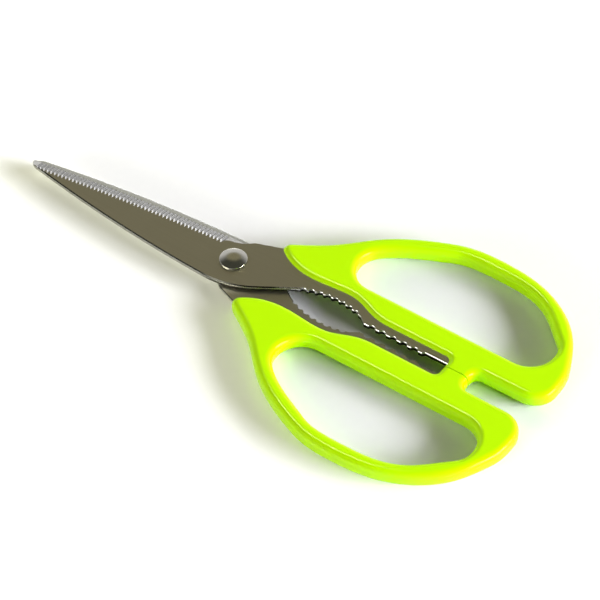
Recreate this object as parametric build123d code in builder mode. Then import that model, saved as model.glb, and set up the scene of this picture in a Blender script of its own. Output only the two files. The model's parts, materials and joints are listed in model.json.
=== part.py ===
from build123d import *
import os
from math import asin, atan, atan2, cos, degrees, hypot, radians, sin

os.makedirs("parts", exist_ok=True)

# Kitchen shears, in millimetres. They lie closed on a table, tips towards +X and +Z up.
# Both halves are drawn in a frame of their own: its origin is on the pivot axis at the height
# where the blades meet, +X runs to the tips, +Y to that half's own handle, and the steel lies
# at negative Z. The upper half is that frame turned over about the long axis.

# Steel blank, from the pivot axis
tip_reach = 87.5
tip_nose = 3.0
tip_bulge = 0.75
steel_thickness = 1.9
blade_gap = 0.2
spine_start = 5.0
spine_at_pivot = 11.1
spine_at_tip = 2.7
spine_bulge = 1.4
spine_chamfer = 0.35
shoulder_end_x = -14.0
shoulder_end_y = -5.7

# Cutting edge, ground on the outer face
edge_at_heel = 9.8
edge_at_tip = 0.6
edge_bulge = 1.1
bevel_width = 4.0
edge_thickness = 0.3
scoop_start = 8.0
scoop_crest_x = 6.4
scoop_crest_y = 6.6
scoop_hollow = 0.75
heel_corner_x = -1.5
heel_corner_y = 10.6

# Fine serrations across the upper blade's bevel
serration_pitch = 1.48
serration_width = 1.3
serration_depth = 0.42
serration_start = 8.8
serration_tip_land = 3.5
cutter_spare = 4.0

# Jaw and teeth on the inner edge of each tang
jaw_front_x = -25.2
jaw_front_y = 1.4
jaw_back_x = -50.6
jaw_back_y = 3.3
jaw_hollow = 2.6
jaw_end_land = 0.8
jaw_notch_pitch = 3.0
jaw_notch_depth = 0.75
jaw_notch_radius = 1.25
tooth_line = 1.35
tooth_row_front = -53.3
tooth_row_ramp = 0.9
tooth_land = 1.4
grip_notch_start = -56.5
grip_notch_pitch = 4.3
grip_notch_depth = 0.9
grip_notch_radius = 1.6
grip_plain_length = 12.0

# Part of the tang that the handle covers
tang_inner = 2.2
tang_step_cover = 3.9
tang_step_run = 1.6
tang_cover_inner = 2.2
tang_cover_outer = 5.1
tang_cover_end = 18.5
tang_corner_round = 1.0
shoulder_out_x = -18.0
shoulder_out_y = 16.7
shoulder_back_x = -31.0
shoulder_back_y = 13.2
tang_straight_start = -46.0
anchor_hole = 3.4
anchor_front_x = -23.5
anchor_front_y = 12.3
anchor_spacing = 31.0
anchor_end_length = 7.0
anchor_back_hole = 1.8

# Handle
handle_thickness = 6.5
edge_round = 2.4
wall_round_share = 0.41
tip_round_share = 0.9
bar_inner = 4.35
bar_width = 10.8
loop_front = -36.2
loop_length = 77.5
loop_width = 31.0
loop_corner = 9.5
side_wall = 5.9
corner_wall = 6.8
back_wall = 8.8
back_corner = 8.65
handle_tip_reach = 10.8
handle_tip_height = 15.0
handle_tip_round = 2.8
tip_flare = 33.0
tip_taper = 37.5
flare_run = 13.2
flare_rise = 10.4
waist_dip_lead = 7.0
waist_dip = 3.55
waist_rise_lag = 9.1
waist_rise = 4.1
waist_end_lag = 24.3
lug_from_back = 31.5
lug_width = 9.8
lug_gap = 0.15
lug_front_round = 2.0
lug_back_round = 3.0

# Pivot
head_diameter = 9.8
head_rim = 0.75
head_dome = 1.25
head_edge_round = 0.3
shank_diameter = 6.0
running_clearance = 0.05
shank_recess = 0.1
bore_spare = 0.4
thread_diameter = 3.5
thread_clearance = 0.02
thread_length = 2.9
thread_lead_in = 0.4
screw_head_diameter = 8.6
screw_head_height = 0.7
screw_head_chamfer = 0.3
screw_slot_width = 0.9
screw_slot_depth = 0.4
spring_washer_diameter = 8.0
spring_washer_bore = 4.1
spring_washer_thickness = 0.25
spring_washer_dish = 0.12
blade_washer_diameter = 12.0
blade_washer_clearance = 0.02

# Curve of the finger loop: points as shares of its half length and of its height above the corner
# rounds, each with the direction in degrees in which the wall would stand out if both were equal,
# and its share of the wall
loop_front_curve = ((0.907, 0.356, 33.5, 1.0), (0.401, 0.872, 64.2, 1.0))
loop_back_curve = ((-0.644, 0.77, 138.4, 0.95), (-0.907, 0.352, 160.2, 0.965))

# Places worked out from the sizes above
bar_outer = bar_inner + bar_width
loop_back = loop_front - loop_length
loop_middle = (loop_front + loop_back) / 2
loop_rise = loop_width - loop_corner
loop_outer = bar_outer + loop_width
handle_side = loop_outer + side_wall
handle_reach = back_wall - loop_back
handle_round = min(
    edge_round,
    wall_round_share * min(side_wall, handle_thickness),
    tip_round_share * handle_tip_round,
)
waist_dip_x = loop_front + waist_dip_lead
waist_rise_x = loop_front - waist_rise_lag
waist_end_x = loop_front - waist_end_lag
lug_center = lug_from_back - handle_reach
lug_front = lug_center + lug_width / 2
lug_back = lug_center - lug_width / 2
pivot_x = (handle_reach - tip_reach) / 2
pivot_height = handle_thickness / 2
pivot_hole = shank_diameter + 2 * running_clearance
contact_face = -blade_gap / 2
outer_face = contact_face - steel_thickness
bevel_fall = (steel_thickness - edge_thickness) / bevel_width
serration_end = tip_reach - serration_tip_land
tang_outer = bar_outer - tang_cover_outer
tang_hidden_inner = bar_inner + tang_cover_inner
tang_end = tang_cover_end - handle_reach
tang_step = lug_front - tang_step_cover
tooth_row_end = (grip_notch_pitch + tooth_land) / 2
grip_row_length = grip_notch_start - tang_step - grip_plain_length - tooth_row_ramp - tooth_row_end
grip_notch_count = int(grip_row_length / grip_notch_pitch) + 1
tooth_row_back = grip_notch_start - (grip_notch_count - 1) * grip_notch_pitch - tooth_row_end
anchor_back_x = tang_end + anchor_end_length
anchor_middle_x = anchor_back_x + anchor_spacing

lower_frame = Plane(origin=(pivot_x, 0, pivot_height), x_dir=(1, 0, 0), z_dir=(0, 0, 1))
upper_frame = Plane(origin=(pivot_x, 0, pivot_height), x_dir=(1, 0, 0), z_dir=(0, 0, -1))
upright = Plane(origin=(pivot_x, 0, pivot_height), x_dir=(1, 0, 0), z_dir=(0, -1, 0))
pivot_axis = Axis((pivot_x, 0, 0), (0, 0, 1))


def arc_circle(start, end, bulge):
    """Centre and radius of the arc from start to end that stands out to the chord's left."""
    chord = hypot(end[0] - start[0], end[1] - start[1])
    radius = chord**2 / (8 * bulge) + bulge / 2
    left = ((start[1] - end[1]) / chord, (end[0] - start[0]) / chord)
    middle = ((start[0] + end[0]) / 2, (start[1] + end[1]) / 2)
    return (middle[0] - left[0] * (radius - bulge), middle[1] - left[1] * (radius - bulge)), radius


def angle_about(center, point):
    """Direction from center to point, in degrees from +X."""
    return degrees(atan2(point[1] - center[1], point[0] - center[0]))


edge_heel = (0, edge_at_heel)
edge_tip = (tip_reach, edge_at_tip)
spine_tip = (tip_reach - tip_nose, -spine_at_tip)
spine_back = (spine_start, -spine_at_pivot)
shoulder_end = (shoulder_end_x, shoulder_end_y)
jaw_front = (jaw_front_x, jaw_front_y)
jaw_back = (jaw_back_x, jaw_back_y)
heel_corner = (heel_corner_x, heel_corner_y)
tooth_corners = (
    (tooth_row_front, tooth_line),
    (tooth_row_back, tooth_line),
    (tooth_row_back - tooth_row_ramp, tang_inner),
)
tang_corners = (
    (tang_step, tang_inner),
    (tang_step - tang_step_run, tang_hidden_inner),
    (tang_end, tang_hidden_inner),
    (tang_end, tang_outer),
    (tang_straight_start, tang_outer),
    (shoulder_back_x, shoulder_back_y),
    (shoulder_out_x, shoulder_out_y),
)
edge_center, edge_radius = arc_circle(edge_heel, edge_tip, edge_bulge)
spine_radius = arc_circle(spine_tip, spine_back, spine_bulge)[1]
jaw_center, jaw_radius = arc_circle(jaw_back, jaw_front, jaw_hollow)


def jaw_notches():
    """Centres of the round notches that leave the jaw's teeth, evenly spaced along its arc."""
    first = angle_about(jaw_center, jaw_front)
    sweep = angle_about(jaw_center, jaw_back) - first
    step = degrees(jaw_notch_pitch / jaw_radius)
    land = degrees(jaw_end_land / jaw_radius)
    count = int((sweep - 2 * land) / step)
    start = first + (sweep - (count - 1) * step) / 2
    reach = jaw_radius + jaw_notch_depth - jaw_notch_radius
    turns = [radians(start + i * step) for i in range(count)]
    return [(jaw_center[0] + reach * cos(t), jaw_center[1] + reach * sin(t)) for t in turns]


def grip_notches():
    """Centres of the larger notches in the straight row behind the jaw."""
    height = tooth_line + grip_notch_depth - grip_notch_radius
    return [(grip_notch_start - i * grip_notch_pitch, height) for i in range(grip_notch_count)]


def make_bevel():
    """What grinding takes off the outer face along the cutting edge, up to the scoop at the heel.

    Like the flute, it is drawn about the centre of the edge's arc.
    """
    inner = edge_radius - bevel_width
    outer = edge_radius + cutter_spare
    spare_turn = degrees(cutter_spare / edge_radius)
    tip_turn = angle_about(edge_center, edge_tip) - spare_turn
    heel_turn = angle_about(edge_center, edge_heel) + spare_turn
    outwards = Vector(cos(radians(tip_turn)), sin(radians(tip_turn)), 0)
    pivot_place = (-edge_center[0], -edge_center[1], outer_face - cutter_spare)
    bevel_start = (scoop_start, edge_at_heel - bevel_width)
    scoop_crest = (scoop_crest_x, scoop_crest_y)
    scoop_foot = edge_at_heel - bevel_width - cutter_spare
    with BuildPart() as bevel:
        with BuildSketch(Plane((0, 0, 0), x_dir=outwards, z_dir=outwards.cross(Vector(0, 0, 1)))):
            with BuildLine():
                Polyline(
                    (inner, outer_face),
                    (outer, outer_face + (outer - inner) * bevel_fall),
                    (outer, outer_face - cutter_spare),
                    (inner, outer_face - cutter_spare),
                    close=True,
                )
            make_face()
        revolve(axis=Axis.Z, revolution_arc=heel_turn - tip_turn)
        with BuildSketch(Plane(pivot_place)):
            with BuildLine():
                Polyline((scoop_start, scoop_foot), bevel_start, scoop_crest)
                SagittaArc(scoop_crest, heel_corner, scoop_hollow)
                Polyline(
                    heel_corner,
                    (heel_corner_x, heel_corner_y + cutter_spare),
                    (heel_corner_x - cutter_spare, heel_corner_y + cutter_spare),
                    (heel_corner_x - cutter_spare, scoop_foot),
                    (scoop_start, scoop_foot),
                )
            make_face()
        extrude(amount=2 * cutter_spare + steel_thickness, mode=Mode.SUBTRACT)
    return bevel


def make_flute():
    """Cutter for one V groove down the bevel, at +X of the centre of the edge's arc."""
    slope = atan(bevel_fall)
    along = Vector(cos(slope), 0, sin(slope))
    origin = (edge_radius, 0, contact_face - edge_thickness)
    with BuildPart() as flute:
        with BuildSketch(Plane(origin=origin, x_dir=(0, 1, 0), z_dir=along)):
            with BuildLine():
                Polyline(
                    (-serration_width / 2, -serration_depth),
                    (serration_width / 2, -serration_depth),
                    (serration_width / 2, 0),
                    (0, serration_depth),
                    (-serration_width / 2, 0),
                    close=True,
                )
            make_face()
        extrude(amount=cutter_spare)
        extrude(faces().sort_by(Axis.X)[0], amount=bevel_width + cutter_spare)
    return flute


def make_blade(frame, serrated):
    """One stamped blade and its tang, with the ground edge."""
    bevel = make_bevel()
    flute = make_flute()
    first_flute = degrees(asin((serration_end - edge_center[0]) / edge_radius))
    last_flute = degrees(asin((serration_start - edge_center[0]) / edge_radius))
    flute_step = degrees(serration_pitch / edge_radius)
    flute_count = int((first_flute - last_flute) / flute_step) + 1
    flute_sweep = (flute_count - 1) * flute_step
    edge_frame = Plane(frame.from_local_coords(Vector(*edge_center)), x_dir=frame.x_dir, z_dir=frame.z_dir)
    with BuildPart(edge_frame) as blade:
        with BuildSketch(frame.offset(outer_face)):
            with BuildLine():
                SagittaArc(edge_heel, edge_tip, edge_bulge)
                SagittaArc(edge_tip, spine_tip, tip_bulge)
                spine = SagittaArc(spine_tip, spine_back, spine_bulge)
                TangentArc(spine_back, shoulder_end, tangent=spine % 1)
                Line(shoulder_end, jaw_front)
                SagittaArc(jaw_front, jaw_back, -jaw_hollow)
                FilletPolyline(
                    jaw_back,
                    *tooth_corners,
                    *tang_corners,
                    heel_corner,
                    radius=[0] * len(tooth_corners) + [tang_corner_round] * len(tang_corners),
                )
                Line(heel_corner, edge_heel)
            make_face()
            with Locations((0, 0)):
                Circle(pivot_hole / 2, mode=Mode.SUBTRACT)
            with Locations((anchor_front_x, anchor_front_y), (anchor_middle_x, (bar_inner + tang_outer) / 2)):
                Circle(anchor_hole / 2, mode=Mode.SUBTRACT)
            with Locations((anchor_back_x, (tang_hidden_inner + tang_outer) / 2)):
                Circle(anchor_back_hole / 2, mode=Mode.SUBTRACT)
            with Locations(*jaw_notches()):
                Circle(jaw_notch_radius, mode=Mode.SUBTRACT)
            with Locations(*grip_notches()):
                Circle(grip_notch_radius, mode=Mode.SUBTRACT)
        extrude(amount=steel_thickness)
        spine_edges = blade.edges().filter_by(GeomType.CIRCLE).filter_by(
            lambda edge: abs(edge.radius - spine_radius) < spine_chamfer
        )
        chamfer(spine_edges, spine_chamfer)
        add(bevel.part, mode=Mode.SUBTRACT)
        if serrated:
            with PolarLocations(0, flute_count, 90 - first_flute, flute_sweep, endpoint=True):
                add(flute.part, mode=Mode.SUBTRACT)
    return blade


def loop_curve(shares, wall):
    """Points of the loop's curve, or of the outline that stands out from it by the wall."""
    points = []
    for lead, rise, turn, wall_share in shares:
        out = wall * wall_share
        stretched = atan2(sin(radians(turn)) / loop_rise, 2 * cos(radians(turn)) / loop_length)
        x = loop_middle + lead * loop_length / 2 + out * cos(stretched)
        y = bar_outer + loop_corner + rise * loop_rise + out * sin(stretched)
        points.append((x, y))
    return points


def make_handle(frame, blade):
    """One moulded handle, with its finger loop and stop lug, round the covered part of the tang."""
    tip_center = (-handle_tip_reach - handle_tip_round, handle_tip_height)
    flare = radians(90 - tip_flare)
    taper = radians(tip_taper - 90)
    tip_top = (tip_center[0] + handle_tip_round * cos(flare), tip_center[1] + handle_tip_round * sin(flare))
    tip_under = (tip_center[0] + handle_tip_round * cos(taper), tip_center[1] + handle_tip_round * sin(taper))
    flare_point = (-handle_tip_reach - flare_run, handle_tip_height + flare_rise)
    ring_front = (loop_front, bar_outer + loop_corner)
    ring_side = (loop_middle, loop_outer)
    ring_back = (loop_back, bar_outer + loop_corner)
    side = (loop_middle, handle_side)
    back = (-handle_reach, bar_inner + back_corner)
    with BuildPart() as handle:
        with BuildSketch(frame.offset(-handle_thickness / 2)):
            with BuildLine():
                ThreePointArc(tip_under, (-handle_tip_reach, handle_tip_height), tip_top)
                Spline(
                    tip_top,
                    flare_point,
                    *loop_curve(loop_front_curve, side_wall),
                    side,
                    tangents=[(-cos(radians(tip_flare)), sin(radians(tip_flare))), (-1, 0)],
                )
                Spline(
                    side,
                    *loop_curve(loop_back_curve, side_wall),
                    (loop_back - corner_wall, bar_outer + loop_corner),
                    back,
                    tangents=[(-1, 0), (0, -1)],
                )
                JernArc(back, (0, -1), back_corner, 90)
                Line((-handle_reach + back_corner, bar_inner), (lug_back - lug_back_round, bar_inner))
                JernArc((lug_back - lug_back_round, bar_inner), (1, 0), lug_back_round, -90)
                Line((lug_back, bar_inner - lug_back_round), (lug_back, 0))
                JernArc((lug_back, 0), (0, -1), lug_width / 2, 180)
                Line((lug_front, 0), (lug_front, bar_inner - lug_front_round))
                JernArc((lug_front, bar_inner - lug_front_round), (0, 1), lug_front_round, -90)
                Line((lug_front + lug_front_round, bar_inner), (waist_end_x, bar_inner))
                Spline(
                    (waist_end_x, bar_inner),
                    (waist_rise_x, bar_inner + waist_rise),
                    (waist_dip_x, bar_inner + waist_dip),
                    tip_under,
                    tangents=[(1, 0), (cos(radians(tip_taper)), sin(radians(tip_taper)))],
                )
            make_face()
            with BuildLine():
                Spline(ring_front, *loop_curve(loop_front_curve, 0), ring_side, tangents=[(0, 1), (-1, 0)])
                Spline(ring_side, *loop_curve(loop_back_curve, 0), ring_back, tangents=[(-1, 0), (0, -1)])
                JernArc(ring_back, (0, -1), loop_corner, 90)
                Line((loop_back + loop_corner, bar_outer), (loop_front - loop_corner, bar_outer))
                JernArc((loop_front - loop_corner, bar_outer), (1, 0), loop_corner, 90)
            make_face(mode=Mode.SUBTRACT)
        extrude(amount=handle_thickness)
        fillet(handle.faces().filter_by(Axis.Z).edges(), handle_round)
        with BuildSketch(frame.offset(-handle_thickness / 2)):
            with Locations((lug_center, lug_gap)):
                Rectangle(lug_width + cutter_spare, lug_width, align=(Align.CENTER, Align.MAX))
        extrude(amount=handle_thickness, mode=Mode.SUBTRACT)
        add(blade.part, mode=Mode.SUBTRACT)
    return handle


upper_blade = make_blade(upper_frame, serrated=True)
upper_blade.part.label = "upper_blade"
export_step(upper_blade.part, "parts/upper_blade.step")

lower_blade = make_blade(lower_frame, serrated=False)
lower_blade.part.label = "lower_blade"
export_step(lower_blade.part, "parts/lower_blade.step")

upper_handle = make_handle(upper_frame, upper_blade)
upper_handle.part.label = "upper_handle"
export_step(upper_handle.part, "parts/upper_handle.step")

lower_handle = make_handle(lower_frame, lower_blade)
lower_handle.part.label = "lower_handle"
export_step(lower_handle.part, "parts/lower_handle.step")

# The post turns in both blades. Its domed head lies on the upper blade, and its shank is a little
# shorter than the stack, so that the screw from below pulls the blades together.
head_seat = -outer_face + running_clearance
shank_end = outer_face + shank_recess
screw_seat = outer_face - spring_washer_thickness - spring_washer_dish
bore_radius = thread_diameter / 2 + thread_clearance
bore_end = screw_seat + thread_length + bore_spare
with BuildPart() as pivot_post:
    with BuildSketch(upright):
        with BuildLine():
            Polyline(
                (0, head_seat + head_rim + head_dome),
                (0, bore_end),
                (bore_radius, bore_end),
                (bore_radius, shank_end),
                (shank_diameter / 2, shank_end),
                (shank_diameter / 2, head_seat),
                (head_diameter / 2, head_seat),
                (head_diameter / 2, head_seat + head_rim),
            )
            TangentArc(
                (0, head_seat + head_rim + head_dome),
                (head_diameter / 2, head_seat + head_rim),
                tangent=(1, 0),
            )
        make_face()
        rim = vertices().sort_by(Axis.X)[-2:].sort_by(Axis.Y)[-1]
        fillet(rim, head_edge_round)
    revolve(axis=pivot_axis)
pivot_post.part.label = "pivot_post"
export_step(pivot_post.part, "parts/pivot_post.step")

with BuildPart() as blade_washer:
    with BuildSketch(lower_frame.offset(contact_face)):
        Circle(blade_washer_diameter / 2)
        Circle(pivot_hole / 2, mode=Mode.SUBTRACT)
    extrude(amount=blade_gap - 2 * blade_washer_clearance)
blade_washer.part.label = "blade_washer"
export_step(blade_washer.part, "parts/blade_washer.step")

with BuildPart() as spring_washer:
    with BuildSketch(upright):
        with BuildLine():
            Polyline(
                (spring_washer_bore / 2, outer_face - spring_washer_dish),
                (spring_washer_diameter / 2, outer_face),
                (spring_washer_diameter / 2, outer_face - spring_washer_thickness),
                (spring_washer_bore / 2, screw_seat),
                close=True,
            )
        make_face()
    revolve(axis=pivot_axis)
spring_washer.part.label = "spring_washer"
export_step(spring_washer.part, "parts/spring_washer.step")

with BuildPart() as pivot_screw:
    with BuildSketch(lower_frame.offset(screw_seat - screw_head_height)):
        Circle(screw_head_diameter / 2)
    extrude(amount=screw_head_height)
    chamfer(pivot_screw.edges().sort_by(Axis.Z)[0], screw_head_chamfer)
    with BuildSketch(lower_frame.offset(screw_seat)):
        Circle(thread_diameter / 2)
    extrude(amount=thread_length)
    chamfer(pivot_screw.edges().sort_by(Axis.Z)[-1], thread_lead_in)
    with BuildSketch(lower_frame.offset(screw_seat - screw_head_height)):
        Rectangle(screw_head_diameter, screw_slot_width)
    extrude(amount=screw_slot_depth, mode=Mode.SUBTRACT)
pivot_screw.part.label = "pivot_screw"
export_step(pivot_screw.part, "parts/pivot_screw.step")
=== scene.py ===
import bpy
import json
from math import cos, pi, radians, sin, tan
from mathutils import Matrix, Vector


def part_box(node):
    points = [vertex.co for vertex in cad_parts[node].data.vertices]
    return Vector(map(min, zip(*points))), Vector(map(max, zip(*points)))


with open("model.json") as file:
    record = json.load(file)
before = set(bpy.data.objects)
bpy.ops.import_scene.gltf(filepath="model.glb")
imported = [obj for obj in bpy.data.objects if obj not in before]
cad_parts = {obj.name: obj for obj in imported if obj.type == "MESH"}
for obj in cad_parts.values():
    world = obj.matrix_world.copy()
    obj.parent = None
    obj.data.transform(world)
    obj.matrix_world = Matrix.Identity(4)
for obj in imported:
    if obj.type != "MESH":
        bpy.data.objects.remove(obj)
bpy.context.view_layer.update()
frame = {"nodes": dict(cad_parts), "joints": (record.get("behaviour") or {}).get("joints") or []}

# Blades: two stampings of 1.9 mm stainless steel, each one piece with its tang. The flat faces are
# brushed along the blade, and the bevels and the upper blade's flutes are ground across it, the
# flutes' sides painted with light and shade. The sheared side walls are painted near black as painted
# shade, and polished on the teeth and along the spine.
millimetre = 0.001


class Nodes:
    """The shader nodes of a material or a world."""

    def __init__(self, tree):
        self.tree = tree

    def node(self, kind, settings, values, output=0):
        """Adds a node, sets it up, then feeds its sockets, and gives one output."""
        made = self.tree.nodes.new("ShaderNode" + kind)
        for name, setting in settings.items():
            setattr(made, name, setting)
        for name, value in values.items():
            self.feed(made.inputs[name], value)
        return Field(self.tree, made.outputs[output])

    def feed(self, socket, value):
        """Links a field to a socket, or sets a number, a vector or a colour without alpha on it."""
        if isinstance(value, Field):
            self.tree.links.new(value.socket, socket)
        elif socket.type == "RGBA":
            socket.default_value = (*value, 1.0)
        else:
            socket.default_value = value

    def maths(self, operation, first, second=0.0):
        return self.node("Math", {"operation": operation}, {0: first, 1: second})

    def vectors(self, operation, first, second=(0.0, 0.0, 0.0), output="Vector"):
        """Works on two vectors; output is Value where the result is one number."""
        return self.node("VectorMath", {"operation": operation}, {0: first, 1: second}, output)

    def along(self, vector, axis):
        """One of a vector's three numbers, axis being X, Y or Z."""
        return self.node("SeparateXYZ", {}, {0: vector}, output=axis)


class Field(Nodes):
    """A value that changes over a piece: one socket among the nodes, with arithmetic."""

    def __init__(self, tree, socket):
        super().__init__(tree)
        self.socket = socket

    def __add__(self, other):
        return self.maths("ADD", self, other)

    def __radd__(self, other):
        return self.maths("ADD", other, self)

    def __sub__(self, other):
        return self.maths("SUBTRACT", self, other)

    def __rsub__(self, other):
        return self.maths("SUBTRACT", other, self)

    def __mul__(self, other):
        return self.maths("MULTIPLY", self, other)

    def __rmul__(self, other):
        return self.maths("MULTIPLY", other, self)

    def __neg__(self):
        return -1.0 * self

    def __abs__(self):
        return self.maths("ABSOLUTE", self)

    def rise(self, low, high):
        """0 below low, 1 above high, and smooth between them."""
        values = {"Value": self, "From Min": low, "From Max": high}
        return self.node("MapRange", {"interpolation_type": "SMOOTHSTEP"}, values)

    def blend(self, low, high):
        """The colour low where this is 0 and high where it is 1."""
        return self.node("Mix", {"data_type": "RGBA"}, {0: self, 6: low, 7: high}, output=2)


class Finish(Nodes):
    """A new material: its shader, and where each point of its piece lies and faces."""

    def __init__(self, name, **constants):
        self.material = bpy.data.materials.new(name)
        self.material.use_nodes = True
        super().__init__(self.material.node_tree)
        self.shader = next(node for node in self.tree.nodes if node.type == "BSDF_PRINCIPLED")
        in_metres = self.node("TexCoord", {}, {}, output="Object")
        self.place = self.vectors("DIVIDE", in_metres, (millimetre, millimetre, millimetre))
        self.facing = self.node("TexCoord", {}, {}, output="Normal")
        for socket, value in constants.items():
            self.shader.inputs[socket.replace("_", " ")].default_value = value

    def noise(self, grain, detail=2.0):
        """Soft noise from 0 to 1, its grains as wide along X, Y and Z as given in millimetres."""
        stretched = self.vectors("DIVIDE", self.place, grain)
        return self.node("TexNoise", {}, {"Vector": stretched, "Scale": 1.0, "Detail": detail})

    def paint(self, **values):
        """Feeds the shader's sockets."""
        for socket, value in values.items():
            self.feed(self.shader.inputs[socket.replace("_", " ")], value)

    def emboss(self, height, depth):
        """Bumps the surface, a height of 1 standing depth millimetres proud."""
        values = {"Height": height, "Distance": depth * millimetre}
        self.paint(Normal=self.node("Bump", {}, values))

    def put_on(self, *names):
        """Gives the finish to the named CAD pieces."""
        for name in names:
            for slot in frame["nodes"][name].material_slots:
                slot.material = self.material


class BladeFinish(Finish):
    """Stainless steel: brushed flats, whiter inner faces, ground bevels and sheared side walls."""

    def __init__(self, name):
        super().__init__(name)
        between_blades = frame["joints"][0]["pos_m"][2] / millimetre
        self.lengthwise = self.along(self.place, "X")
        self.above_middle = self.along(self.place, "Z") - between_blades
        self.from_middle = abs(self.above_middle)
        self.tipward = self.along(self.facing, "X")
        self.level = abs(self.along(self.facing, "Z"))
        self.brushing = self.noise((26.0, 0.09, 1.0), detail=4.0)
        self.grinding = self.noise((0.11, 7.0, 2.0), detail=3.0)
        self.find_zones()
        self.color_zones()
        self.cut_relief()

    def find_zones(self):
        """Tells the zones apart by how level they are and by where they lie, in millimetres."""
        wall_to_ground = (0.72, 0.76)
        ground_to_flat = (0.955, 0.985)
        teeth_end = (-4.0, 0.0)
        inner_start = (14.0, 18.0)
        inner_height = (0.12, 0.2)
        flat = self.level.rise(*ground_to_flat)
        self.wall = 1 - self.level.rise(*wall_to_ground)
        self.ground = (1 - self.wall) * (1 - flat)
        self.teeth = 1 - self.lengthwise.rise(*teeth_end)
        slides = 1 - self.from_middle.rise(*inner_height)
        self.inner = flat * slides * self.lengthwise.rise(*inner_start)

    def color_zones(self):
        """Gives each zone its colour and its gloss."""
        flat_roughness = 0.34 + self.brushing * 0.1
        inner_rougher = 0.2
        ground_smoother = 0.04
        wall_smoother = 0.12
        inner_grime = 0.1
        face = self.inner.blend(self.flat_color(), self.inner_color())
        color = self.wall.blend(self.ground.blend(face, self.ground_color()), self.wall_color())
        smoother = self.ground * ground_smoother + self.wall * wall_smoother
        roughness = flat_roughness + self.inner * inner_rougher - smoother
        self.paint(Base_Color=color, Roughness=roughness, Metallic=1 - self.inner * inner_grime)

    def flat_color(self):
        """Brushed lines with soft clouds among them."""
        dark = (0.49, 0.465, 0.36)
        light = (0.65, 0.62, 0.49)
        cloud = self.noise((17.0, 9.0, 9.0))
        return (self.brushing * 0.7 + cloud * 0.3).blend(dark, light)

    def inner_color(self):
        """The faces that slide on each other, scratched across by the grinding wheel."""
        dark = (0.78, 0.79, 0.75)
        light = (0.90, 0.91, 0.88)
        return self.grinding.blend(dark, light)

    def ground_color(self):
        """The bevel, and each flute's two sides in painted light and shade, one with a painted glint
        and one with a painted shadow where the flute runs out.
        """
        bevel_dark = (0.66, 0.66, 0.65)
        bevel_light = (0.84, 0.84, 0.83)
        # Painted light on the flutes: the side facing the handle is painted shade with a painted glint
        # at its run-out end, and the side facing the tip a painted reflection with painted shadow
        # there.
        handle_side_painted_shade = (0.36, 0.36, 0.36)
        handle_side_painted_glint = (0.84, 0.84, 0.84)
        tip_side_painted_reflection = (0.62, 0.62, 0.62)
        tip_side_painted_shadow = (0.02, 0.02, 0.015)
        bevel_to_flute = (0.16, 0.3)
        bevel = self.grinding.blend(bevel_dark, bevel_light)
        runs_out = self.above_middle.rise(1.5, 1.75)
        faces_handle = (-self.tipward).rise(*bevel_to_flute)
        faces_tip = self.tipward.rise(*bevel_to_flute)
        one_side = faces_handle.blend(bevel, runs_out.blend(handle_side_painted_shade, handle_side_painted_glint))
        return faces_tip.blend(one_side, runs_out.blend(tip_side_painted_reflection, tip_side_painted_shadow))

    def wall_color(self):
        """The sheared edge: painted near black as painted shade, darkest as a painted dark line along
        the spine's chamfer, and polished on the teeth's outer half, less by the pivot and on the
        spine.
        """
        # Painted shade: the darkest wall colours stand in for the shade under the upper blade and in
        # the jaw, and for a dark line along the spine's chamfer.
        painted_shade_dark = (0.045, 0.044, 0.036)
        spine_painted_dark_line = (0.006, 0.006, 0.005)
        polished = (0.78, 0.77, 0.74)
        pivot_polish = 0.9
        spine_polish = 0.55
        upright = 1 - self.level.rise(0.3, 0.5)
        outer_half = self.from_middle.rise(0.9, 1.3)
        by_pivot = (1 - self.teeth) * (1 - self.lengthwise.rise(14.0, 22.0))
        spine = self.lengthwise.rise(17.0, 24.0)
        handle_end = (self.teeth + by_pivot * upright * pivot_polish) * outer_half
        polish = handle_end + spine * upright * spine_polish
        return polish.blend(spine.blend(painted_shade_dark, spine_painted_dark_line), polished)

    def cut_relief(self):
        """Fine scratches, and the teeth's outer edges rolled over by the press."""
        relief_depth = 0.35
        scratch_height = 0.011
        scratches = self.brushing * (1 - self.ground) + self.grinding * self.ground
        rolled = self.wall * self.teeth * self.from_middle.rise(1.5, 1.9)
        self.emboss(scratches * scratch_height - rolled, relief_depth)


BladeFinish("blade_steel_brushed").put_on("upper_blade", "lower_blade")

# Pivot: a post with a low domed head, turned from stainless bar and polished, goes down through both
# blades, and a slotted screw of the same steel is driven into it from the back.


def turned_finish(name, dark, light, roughness):
    """Polished steel with the faint rings that turning leaves round the pivot's axis."""
    ring_pitch = 0.22
    relief_depth = 0.0012
    steel = Finish(name, Metallic=1.0)
    axis = Vector(frame["joints"][0]["pos_m"]) / millimetre
    from_axis = steel.vectors("SUBTRACT", steel.place, axis)
    across = steel.vectors("MULTIPLY", from_axis, (1.0, 1.0, 0.0))
    radius = steel.vectors("LENGTH", across, output="Value")
    rings = steel.maths("SINE", radius * (2 * pi / ring_pitch)) * 0.5 + 0.5
    haze = steel.noise((1.6, 1.6, 1.6), detail=3.0)
    steel.paint(Base_Color=haze.blend(dark, light), Roughness=roughness + haze * 0.06)
    steel.emboss(rings * 0.6 + haze * 0.4, relief_depth)
    return steel


turned_finish("post_steel", (0.70, 0.69, 0.63), (0.82, 0.81, 0.76), 0.13).put_on("pivot_post")
turned_finish("screw_steel", (0.52, 0.51, 0.48), (0.66, 0.65, 0.62), 0.2).put_on("pivot_screw")

# Washers: a dished spring washer under the screw's head keeps the blades pressed together, and a flat
# one lies between them. Both are punched from thin spring steel and left with a satin face.


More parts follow.
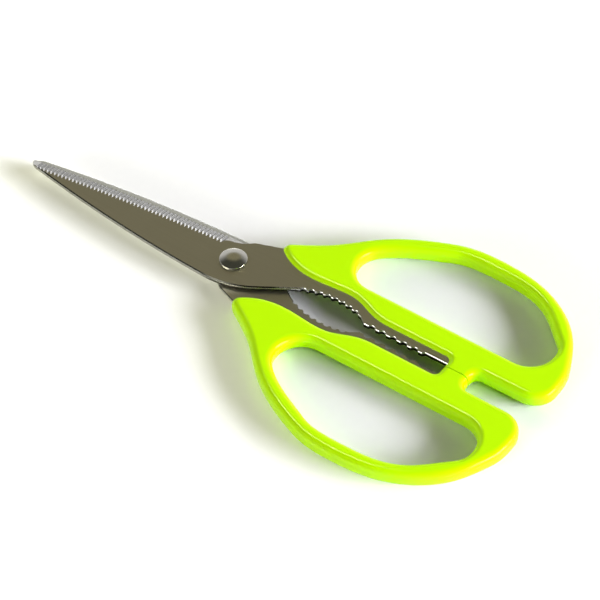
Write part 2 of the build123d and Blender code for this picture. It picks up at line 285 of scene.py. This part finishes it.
def washer_finish(name):
    """Satin spring steel, a little darker where it has rubbed."""
    dark = (0.50, 0.49, 0.46)
    light = (0.62, 0.61, 0.58)
    relief_depth = 0.003
    steel = Finish(name, Metallic=1.0)
    rubbed = steel.noise((2.4, 2.4, 2.4), detail=3.0)
    grain = steel.noise((0.15, 0.15, 0.15))
    steel.paint(Base_Color=rubbed.blend(dark, light), Roughness=0.32 + grain * 0.12)
    steel.emboss(grain, relief_depth)
    return steel


washer_finish("washer_steel").put_on("spring_washer", "blade_washer")

# Handles: lime green gloss plastic, moulded round each tang in a polished tool. They carry the faint
# waviness of thick walls as they shrink, and the tool's parting line at half height.


def handle_finish(name):
    """Gloss plastic, nearly even in colour, with a soft ripple and a hair line at half height."""
    deep = (0.366, 0.682, 0.0)
    pale = (0.386, 0.714, 0.0)
    relief_depth = 0.02
    seam_height = 0.2
    plastic = Finish(name, IOR=1.49, Specular_IOR_Level=0.25)
    cloud = plastic.noise((14.0, 14.0, 14.0))
    handling = plastic.noise((5.0, 5.0, 5.0), detail=4.0)
    ripple = plastic.noise((4.5, 4.5, 4.5), detail=1.0)
    low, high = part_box("upper_handle")
    half_height = (low.z + high.z) / 2 / millimetre
    from_seam = abs(plastic.along(plastic.place, "Z") - half_height)
    seam = 1 - from_seam.rise(0.02, 0.09)
    plastic.paint(Base_Color=cloud.blend(deep, pale), Roughness=0.13 + handling * 0.08)
    plastic.emboss(ripple + seam * seam_height, relief_depth)
    return plastic


handle_finish("handle_plastic_gloss").put_on("upper_handle", "lower_handle")

# Floor: a plain white sheet of heavy paper that the shears lie on. It reaches far beyond the view,
# so that no edge of it shows.
floor_reach = 3.0
floor_signs = ((-1, -1), (1, -1), (1, 1), (-1, 1))
floor_corners = [(x * floor_reach, y * floor_reach, 0.0) for x, y in floor_signs]
floor_mesh = bpy.data.meshes.new("floor")
floor_mesh.from_pydata(floor_corners, [], [(0, 1, 2, 3)])
floor = bpy.data.objects.new("floor", floor_mesh)
bpy.context.scene.collection.objects.link(floor)
paper = Finish("floor_white", Roughness=0.7)
paper_fibres = paper.noise((3.0, 3.0, 3.0), detail=4.0)
paper.paint(Base_Color=paper_fibres.blend((0.90, 0.90, 0.91), (0.93, 0.93, 0.94)))
floor.data.materials.append(paper.material)

# Light: the strongest white lamps hang low behind the handles and throw the shadows, and others all
# round the table soften these. Some light only the floor, the plastic or the steel, or show only as
# a line of light on a rounded edge or a flute.
lamp_distance = 4.0
paper_reflects = 0.92
open_floor_light = pi / paper_reflects
blades = [frame["nodes"][name] for name in ("upper_blade", "lower_blade")]
handles = [frame["nodes"][name] for name in ("upper_handle", "lower_handle")]
handles_and_post = [*handles, frame["nodes"]["pivot_post"]]


def hang_lamp(name, turn, rise, wide, tall, share, color, spread=True, mirrored=True, only=()):
    """A soft lamp facing the shears: where it hangs and what it spans are in degrees, seen from
    them, and share is the part of the open floor's light that comes from it. It can be kept out of
    the spread or the mirrored light, and its light kept for some objects only."""
    level = cos(radians(rise))
    toward = Vector((level * cos(radians(turn)), level * sin(radians(turn)), sin(radians(rise))))
    lamp = bpy.data.lights.new(name, "AREA")
    lamp.shape = "RECTANGLE"
    lamp.size = 2 * lamp_distance * tan(radians(wide / 2))
    lamp.size_y = 2 * lamp_distance * tan(radians(tall / 2))
    edge_loss = cos(radians(wide / 4)) ** 3
    lamp.energy = share * open_floor_light * pi * lamp_distance ** 2 / toward.z / edge_loss
    lamp.color = color
    holder = bpy.data.objects.new(name, lamp)
    holder.location = toward * lamp_distance
    holder.rotation_mode = "QUATERNION"
    holder.rotation_quaternion = toward.to_track_quat("Z", "Y")
    holder.visible_diffuse = spread
    holder.visible_glossy = mirrored
    bpy.context.scene.collection.objects.link(holder)
    if only:
        lit = bpy.data.collections.new("lit_by_" + name)
        for receiver in only:
            lit.objects.link(receiver)
        holder.light_linking.receiver_collection = lit


hang_lamp("key_lamp", turn=193, rise=14.5, wide=30, tall=11, share=0.48,
          color=(1.0, 1.0, 1.09), mirrored=False)
hang_lamp("second_lamp", turn=215, rise=19, wide=28, tall=14, share=0.20,
          color=(1.0, 1.0, 1.06), mirrored=False)
hang_lamp("front_lamp", turn=72, rise=7.5, wide=50, tall=12, share=0.30,
          color=(1.0, 1.0, 0.76), only=[floor])
hang_lamp("fill_lamp", turn=72, rise=15, wide=50, tall=20, share=0.06,
          color=(1.0, 1.0, 0.82), mirrored=False)
hang_lamp("side_lamp", turn=335, rise=20, wide=44, tall=16, share=0.09,
          color=(1.0, 1.0, 0.68), mirrored=False)
hang_lamp("back_lamp", turn=285, rise=8, wide=44, tall=12, share=0.09,
          color=(1.0, 1.0, 0.68), mirrored=False)
hang_lamp("line_lamp", turn=345, rise=65, wide=5, tall=24, share=0.5,
          color=(1.0, 0.97, 0.5), spread=False, only=handles)
hang_lamp("rim_lamp", turn=190, rise=14.5, wide=36, tall=11, share=0.20,
          color=(1.0, 1.0, 0.8), spread=False, only=handles_and_post)
hang_lamp("near_lamp", turn=120, rise=32, wide=50, tall=24, share=0.14,
          color=(1.08, 0.98, 0.45), mirrored=False, only=handles)
hang_lamp("left_lamp", turn=38, rise=34, wide=50, tall=24, share=0.17,
          color=(1.08, 0.98, 0.45), mirrored=False, only=handles)
hang_lamp("tooth_lamp", turn=61, rise=33, wide=40, tall=24, share=0.40,
          color=(1.0, 1.0, 0.97), only=blades)
hang_lamp("flute_lamp", turn=251, rise=13, wide=24, tall=12, share=0.009,
          color=(1.0, 1.0, 1.0), spread=False, only=blades)

# Room: dim overhead and light along its walls, with a wide pale patch behind the shears. Where the
# flat steel mirrors it, it is an even warm grey.
room = bpy.data.worlds.new("room")
room.use_nodes = True
bpy.context.scene.world = room
sky = Nodes(room.node_tree)
direction = sky.node("TexCoord", {}, {}, output="Generated")
upward = sky.along(direction, "Z")


def nearness(toward, far, close):
    """0 where the room is over far degrees from a direction, and 1 within close degrees of it."""
    facing = sky.vectors("DOT_PRODUCT", direction, Vector(toward).normalized(), output="Value")
    return facing.rise(cos(radians(far)), cos(radians(close)))


ceiling_color = (0.055, 0.055, 0.042)
wall_color = (0.6, 0.6, 0.58)
patch_color = (0.6, 0.59, 0.58)
mirrored_color = (0.23, 0.21, 0.13)
low_walls = 1 - upward.rise(0.10, 0.34)
patch = nearness((0.4, -0.91, 0.2), far=75, close=35) * (1 - upward.rise(0.3, 0.9))
in_flats = nearness((0.386, -0.548, 0.742), far=28, close=10)
room_color = patch.blend(low_walls.blend(ceiling_color, wall_color), patch_color)
backdrop = next(node for node in room.node_tree.nodes if node.type == "BACKGROUND")
sky.feed(backdrop.inputs["Color"], in_flats.blend(room_color, mirrored_color))

# Camera: a long lens, as for a product photograph, above and beside the handles. The blades point up
# and to the left in its view.
eye = Vector((-430.3, 580.5, 783.2)) * millimetre
aim = Vector((-11.6, 1.7, 4.45)) * millimetre
roll_reference = Vector((-0.0135, 0.0, 1.0))
lens = bpy.data.cameras.new("camera")
lens.sensor_width = 36.0
lens.lens = 187.1
camera = bpy.data.objects.new("camera", lens)
forward = (aim - eye).normalized()
right = forward.cross(roll_reference).normalized()
above = right.cross(forward)
camera.matrix_world = Matrix.Translation(eye) @ Matrix((right, above, -forward)).transposed().to_4x4()
bpy.context.scene.collection.objects.link(camera)
bpy.context.scene.camera = camera
bpy.context.scene.view_settings.view_transform = "Standard"
